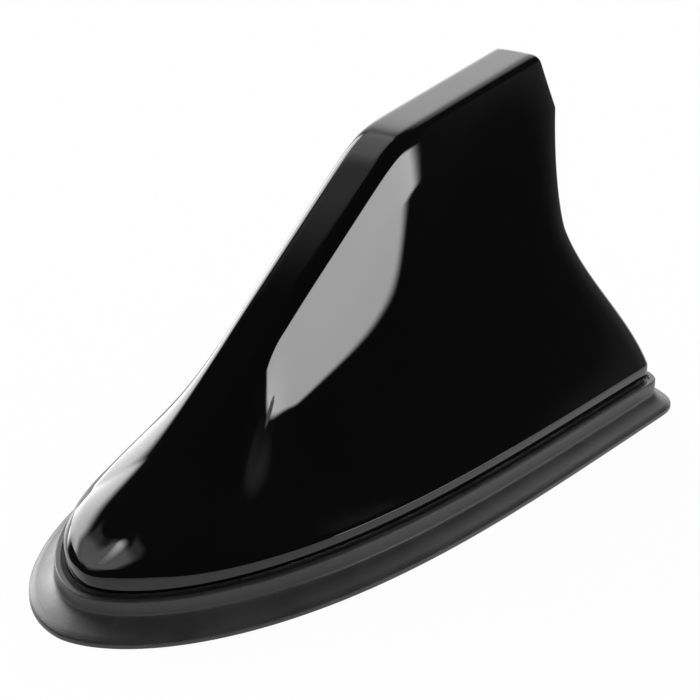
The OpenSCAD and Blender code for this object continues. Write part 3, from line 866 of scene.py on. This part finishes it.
class PieceTree:
    """Geometry Nodes tree with named sizes, run once on points to make one plain mesh."""

    def __init__(self, name: str, sizes: list[str]) -> None:
        """Starts a tree.

        Args:
            name: Name of the tree.
            sizes: Names of its number inputs, in metres, turns or radians.
        """
        self.tree = bpy.data.node_groups.new(name, "GeometryNodeTree")
        face = self.tree.interface
        face.new_socket("Points", in_out="INPUT", socket_type="NodeSocketGeometry")
        number = {"in_out": "INPUT", "socket_type": "NodeSocketFloat"}
        self.keys = {size: face.new_socket(size, **number).identifier for size in sizes}
        face.new_socket("Geometry", in_out="OUTPUT", socket_type="NodeSocketGeometry")
        self.source = self.tree.nodes.new("NodeGroupInput")

    def size(self, name: str) -> bpy.types.NodeSocket:
        """Output socket of a named input."""
        return self.source.outputs[name]

    def node(self, kind: str, settings: dict[str, Value], values: dict[Value, Value]) -> bpy.types.NodeSocket:
        """Adds a node and returns its first output.

        Args:
            kind: Node type.
            settings: Properties, set first.
            values: Values or links of its input sockets.

        Returns:
            The first output socket.
        """
        made = self.tree.nodes.new(kind)
        for key, value in settings.items():
            setattr(made, key, value)
        for key, value in values.items():
            for one in value if isinstance(value, list) else [value]:
                if isinstance(one, bpy.types.NodeSocket):
                    self.tree.links.new(one, made.inputs[key])
                else:
                    made.inputs[key].default_value = one
        return next(out for out in made.outputs if out.enabled)

    def part_of(self, name: str, share: float) -> bpy.types.NodeSocket:
        """Share of a named size."""
        return self.node("ShaderNodeMath", {"operation": "MULTIPLY"}, {0: self.size(name), 1: share})

    def rod(self, sides: int, radius: bpy.types.NodeSocket, length: str) -> bpy.types.NodeSocket:
        """Cylinder whose length is a named size, centred on the point."""
        values = {"Vertices": sides, "Radius": radius, "Depth": self.size(length)}
        return self.node("GeometryNodeMeshCylinder", {}, values)

    def raise_by(self, shape: bpy.types.NodeSocket, name: str, share: float) -> bpy.types.NodeSocket:
        """Shape moved up by a share of a named size."""
        way = self.node("ShaderNodeCombineXYZ", {}, {2: self.part_of(name, share)})
        return self.node("GeometryNodeTransform", {}, {"Geometry": shape, "Translation": way})

    def run(self, name: str, points: Points, sizes: dict[str, float], finish: bpy.types.Material,
            shape: bpy.types.NodeSocket) -> bpy.types.Object:
        """Closes the tree and turns its result into a plain mesh.

        Args:
            name: Name of the piece.
            points: Places in metres.
            sizes: Value of each named input.
            finish: Material of the piece.
            shape: Last geometry of the tree.

        Returns:
            The piece, with its place in its mesh.
        """
        real = self.node("GeometryNodeRealizeInstances", {}, {0: shape})
        dressed = self.node("GeometryNodeSetMaterial", {}, {"Geometry": real, "Material": finish})
        end = self.tree.nodes.new("NodeGroupOutput")
        self.tree.links.new(dressed, end.inputs[0])
        mesh = bpy.data.meshes.new(name)
        mesh.from_pydata([tuple(map(float, point)) for point in points], [], [])
        obj = bpy.data.objects.new(name, mesh)
        bpy.context.scene.collection.objects.link(obj)
        modifier = obj.modifiers.new("piece", "NODES")
        modifier.node_group = self.tree
        for key, value in sizes.items():
            modifier[self.keys[key]] = float(value)
        bpy.context.view_layer.update()
        graph = bpy.context.evaluated_depsgraph_get()
        baked = bpy.data.meshes.new_from_object(obj.evaluated_get(graph))
        obj.modifiers.remove(modifier)
        obj.data = baked
        baked.name = name
        return obj


@dataclass
class Screws:
    """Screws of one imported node, remade with a thread and a hexagon recess."""

    node: str
    head_up: bool = True
    pitch_mm: float = 0.8
    thread_mm: float = 0.2
    point_mm: float = 1.2
    spread_mm: float = 8.0
    recess_share: float = 0.52
    recess_floor: float = 0.4
    thread_share: float = 0.86
    thread_foot: float = 0.94

    @staticmethod
    def middle(points: Points) -> Points:
        """Middle of a group of points seen from above."""
        return (points[:, :2].min(axis=0) + points[:, :2].max(axis=0)) / 2

    def places(self, frame: dict[str, Value]) -> tuple[Points, dict[str, float]]:
        """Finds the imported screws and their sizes.

        Args:
            frame: The loaded frame.

        Returns:
            Centre of each head's seat, and the screw's sizes, in metres.
        """
        mesh = frame["nodes"][self.node].data
        points = np.array([vertex.co[:] for vertex in mesh.vertices])
        groups: list[Points] = []
        left = points
        while len(left):
            near = np.hypot(*(left[:, :2] - left[0, :2]).T) < self.spread_mm * MM
            groups.append(left[near])
            left = left[~near]
        one = groups[0]
        radius = np.hypot(*(one[:, :2] - self.middle(one)).T)
        head = one[radius > 0.9 * radius.max()]
        low, high = one[:, 2].min(), one[:, 2].max()
        seat = head[:, 2].min() if self.head_up else head[:, 2].max()
        far = low if self.head_up else high
        shank = radius[np.abs(one[:, 2] - far) < 0.3 * MM].max()
        sizes = {
            "Head Radius": radius.max(),
            "Head Height": abs((high if self.head_up else low) - seat),
            "Shank Radius": shank,
            "Shank Length": abs(far - seat),
            "Turns": (abs(far - seat) / MM - self.point_mm) / self.pitch_mm,
            "Thread": self.thread_mm * MM,
            "Tilt": 0.0 if self.head_up else math.pi,
        }
        return np.array([(*self.middle(group), seat) for group in groups]), sizes

    def head(self, t: PieceTree) -> bpy.types.NodeSocket:
        """Head that stands on its seat, with its recess.

        Args:
            t: Tree of the screw.

        Returns:
            The head's geometry.
        """
        blank = t.rod(40, t.size("Head Radius"), "Head Height")
        recess = t.rod(6, t.part_of("Head Radius", self.recess_share), "Head Height")
        raised = t.raise_by(recess, "Head Height", self.recess_floor)
        cut = t.node("GeometryNodeMeshBoolean", {"operation": "DIFFERENCE"}, {0: blank, 1: raised})
        return t.raise_by(cut, "Head Height", 0.5)

    def thread(self, t: PieceTree) -> bpy.types.NodeSocket:
        """Ridge that winds round the shank.

        Args:
            t: Tree of the screw.

        Returns:
            The ridge's geometry.
        """
        values = {
            "Resolution": 18,
            "Rotations": t.size("Turns"),
            "Start Radius": t.size("Shank Radius"),
            "End Radius": t.size("Shank Radius"),
            "Height": t.part_of("Shank Length", self.thread_share),
        }
        path = t.node("GeometryNodeCurveSpiral", {}, values)
        ridge = t.node("GeometryNodeCurvePrimitiveCircle", {}, {"Resolution": 6, "Radius": t.size("Thread")})
        sweep = {"Curve": path, "Profile Curve": ridge, "Fill Caps": True}
        wound = t.node("GeometryNodeCurveToMesh", {}, sweep)
        return t.raise_by(wound, "Shank Length", -self.thread_foot)

    def build(self, shop: Workshop) -> bpy.types.Object:
        """Builds the screws of the node.

        Args:
            shop: Workshop that holds the frame.

        Returns:
            One piece that holds all of them.
        """
        points, sizes = self.places(shop.frame)
        t = PieceTree(self.node, list(sizes))
        shank = t.raise_by(t.rod(32, t.size("Shank Radius"), "Shank Length"), "Shank Length", -0.5)
        screw = t.node("GeometryNodeJoinGeometry", {}, {0: [self.head(t), shank, self.thread(t)]})
        tilt = t.node("ShaderNodeCombineXYZ", {}, {0: t.size("Tilt")})
        values = {"Points": t.source.outputs["Points"], "Instance": screw, "Rotation": tilt}
        placed = t.node("GeometryNodeInstanceOnPoints", {}, values)
        obj = t.run(self.node + "_threaded", points, sizes, shop.finish(Slot.SCREW), placed)
        shop.fit(obj, Slot.SCREW, self.node)
        return obj


@dataclass
class Inside:
    """Plate, boards, radiators and seals inside and under the cover."""

    slots: dict[str, Slot] = field(
        default_factory=lambda: {
            "base_plate": Slot.PLATE,
            "cover_seal": Slot.SEAL,
            "fixing_insert": Slot.BRASS,
            "roof_hole_seal": Slot.FOAM,
            "cable_grommet": Slot.SEAL,
            "vent_patch": Slot.MEMBRANE,
            "main_board": Slot.BOARD,
            "shield_frame": Slot.TIN,
            "shield_lid": Slot.TIN,
            "amplifier_chips": Slot.CHIP,
            "signal_filters": Slot.FILTER,
            "chip_capacitors": Slot.CAPACITOR,
            "chip_coils": Slot.FERRITE,
            "board_sockets": Slot.BRASS,
            "patch_pad": Slot.FOAM,
            "patch_ceramic": Slot.CERAMIC,
            "patch_pin": Slot.TIN,
            "cell_blade": Slot.TIN,
            "fin_bracket": Slot.PLASTIC,
            "fin_board": Slot.BOARD,
            "top_hat": Slot.TIN,
            "loading_coil": Slot.COPPER,
            "foam_pad": Slot.FOAM,
        }
    )

    def build(self, shop: Workshop) -> None:
        """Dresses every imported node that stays.

        Args:
            shop: Workshop that holds the frame.
        """
        for node, slot in self.slots.items():
            shop.dress_node(node, slot)


@dataclass(frozen=True)
class Panel:
    """Soft light panel in the surround, with edges in degrees of azimuth and height."""

    start: float
    end: float
    low: float
    high: float
    strength: float
    lean: float = 0.0
    slope: float = 0.0
    soft: float = 1.5

    def light(self, azimuth: Socket, height: Socket) -> Socket:
        """Light that comes from a direction.

        Args:
            azimuth: Azimuth of the direction, from 0 to 360.
            height: Height angle of the direction.

        Returns:
            Strength of the panel there.
        """
        across = azimuth + self.lean * height
        up = height - self.slope * (azimuth - self.start)
        sides = self.rise(across, self.start) - self.rise(across, self.end)
        ends = self.rise(height, self.low) * (1 - self.rise(up, self.high))
        return self.strength * sides * ends

    def rise(self, angle: Socket, edge: float) -> Socket:
        """Soft step from 0 below an edge to 1 above it."""
        return angle.step(edge - self.soft, edge + self.soft)


class Light(Enum):
    """Panels round the table, each where the photograph's gloss shows one."""

    LOW_SIDE = Panel(109, 139, -3.5, 13.6, 7.5, slope=-0.48, soft=0.9)
    FAR_SIDE = Panel(240, 265, -6, 44, 6.5, lean=-0.05, soft=4.0)
    FAR_TOP = Panel(232, 266, 46, 59, 1.3, soft=4.0)
    BACK = Panel(172, 234, -30, 46, 1.0, soft=12.0)
    REAR_GLOW = Panel(142, 172, 2, 18, 0.25, soft=5.0)
    OVERHEAD = Panel(266, 276, 50, 62, 0.4, soft=3.0)


@dataclass
class Studio:
    """White table, panels of light and camera of the photograph's view."""

    azimuth: float = 126.05
    elevation: float = 23.24
    distance_mm: float = 402.06
    centre_mm: tuple[float, float, float] = (-5.553, 0.0, 25.129)
    view_angle: float = 19.713
    table_reach: float = 4.0
    table_colour: Colour = (0.9, 0.9, 0.9)
    white_share: float = 0.97
    # Patch in front of the nose, x and y in metres, where reflections of the table are painted dark
    reflection_shade_x: tuple[float, float] = (0.08, 0.1)
    reflection_shade_y: tuple[float, float] = (-0.06, -0.02)
    dim: float = 0.05
    fill: float = 0.5

    def camera(self) -> bpy.types.Object:
        """Camera at the photograph's place.

        Returns:
            The camera object.
        """
        a, e = math.radians(self.azimuth), math.radians(self.elevation)
        back = Vector((math.sin(a) * math.cos(e), -math.cos(a) * math.cos(e), math.sin(e)))
        data = bpy.data.cameras.new("studio_camera")
        data.angle = math.radians(self.view_angle)
        obj = bpy.data.objects.new("studio_camera", data)
        obj.location = (Vector(self.centre_mm) + back * self.distance_mm) * MM
        obj.rotation_euler = back.to_track_quat("Z", "Y").to_euler()
        bpy.context.scene.collection.objects.link(obj)
        bpy.context.scene.camera = obj
        return obj

    def table(self) -> bpy.types.Object:
        """White table top, clear from below, that keeps the shadow.

        Gloss shows it white, apart from a patch in front of the nose with a painted dark reflection, where
        gloss sees the table's matt grey instead of its white.

        Returns:
            The table object.
        """
        mesh = bpy.data.meshes.new("table")
        r = self.table_reach
        mesh.from_pydata([(-r, -r, 0), (r, -r, 0), (r, r, 0), (-r, r, 0)], [], [(0, 1, 2, 3)])
        obj = bpy.data.objects.new("table", mesh)
        bpy.context.scene.collection.objects.link(obj)
        owner = bpy.data.materials.new("table_white")
        tree = ShaderTree(owner)
        camera, glossy, through = tree.rays()
        x, y = tree.node("ShaderNodeSeparateXYZ", {}, {0: tree.place()})[:2]
        # Painted dark reflection: inside this patch glossy rays see the matt grey table instead of white
        painted_reflection_shade = x.step(*self.reflection_shade_x) * y.step(*self.reflection_shade_y)
        seen = (camera + glossy * (1 - painted_reflection_shade) + through).clamp()
        matt = tree.node("ShaderNodeBsdfDiffuse", {}, {"Color": (*self.table_colour, 1)})[0]
        white = tree.node("ShaderNodeEmission", {}, {"Color": (1, 1, 1, 1), "Strength": 1.0})[0]
        pale = tree.node("ShaderNodeMixShader", {}, {0: self.white_share, 1: matt, 2: white})[0]
        both = tree.node("ShaderNodeMixShader", {}, {0: seen, 1: matt, 2: pale})[0]
        below = tree.node("ShaderNodeNewGeometry", {}, {})[6]
        clear = tree.node("ShaderNodeBsdfTransparent", {}, {"Color": (1, 1, 1, 1)})[0]
        shown = tree.node("ShaderNodeMixShader", {}, {0: below, 1: both, 2: clear})[0]
        tree.node("ShaderNodeOutputMaterial", {}, {"Surface": shown})
        mesh.materials.append(owner)
        return obj

    def surround(self) -> None:
        """White backdrop, with the panels and the dark surround that the gloss shows."""
        world = bpy.data.worlds.new("surround")
        bpy.context.scene.world = world
        tree = ShaderTree(world)
        camera, glossy, through = tree.rays()
        way = tree.node("ShaderNodeTexCoord", {}, {})[0]
        x, y, z = tree.node("ShaderNodeSeparateXYZ", {}, {0: way})
        azimuth, height = y.turn(x), z.climb()
        light: Value = self.dim
        for panel in Light:
            light = panel.value.light(azimuth, height) + light
        backdrop = Light.BACK.value.light(azimuth, height)
        seen = (camera + glossy * backdrop + through).clamp()
        soft = self.fill * (1 - camera - glossy - through).clamp()
        level = light * (1 - camera).clamp() + seen + soft
        lamp = tree.node("ShaderNodeBackground", {}, {"Color": (1, 1, 1, 1), "Strength": level})[0]
        tree.node("ShaderNodeOutputWorld", {}, {"Surface": lamp})

    def build(self) -> None:
        """Sets up table, surround and camera."""
        bpy.context.scene.view_settings.view_transform = "Standard"
        self.table()
        self.surround()
        self.camera()


def main() -> None:
    """Builds the aerial's looks and its studio."""
    logging.basicConfig(level=logging.INFO, format="%(name)s: %(message)s")
    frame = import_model()
    shop = Workshop(frame)
    Cover().build(shop)
    RoofGasket().build(shop)
    Screws("cover_screws", head_up=False).build(shop)
    Screws("board_screws").build(shop)
    Screws("bracket_screws").build(shop)
    Inside().build(shop)
    Studio().build()


if __name__ == "__main__":
    main()
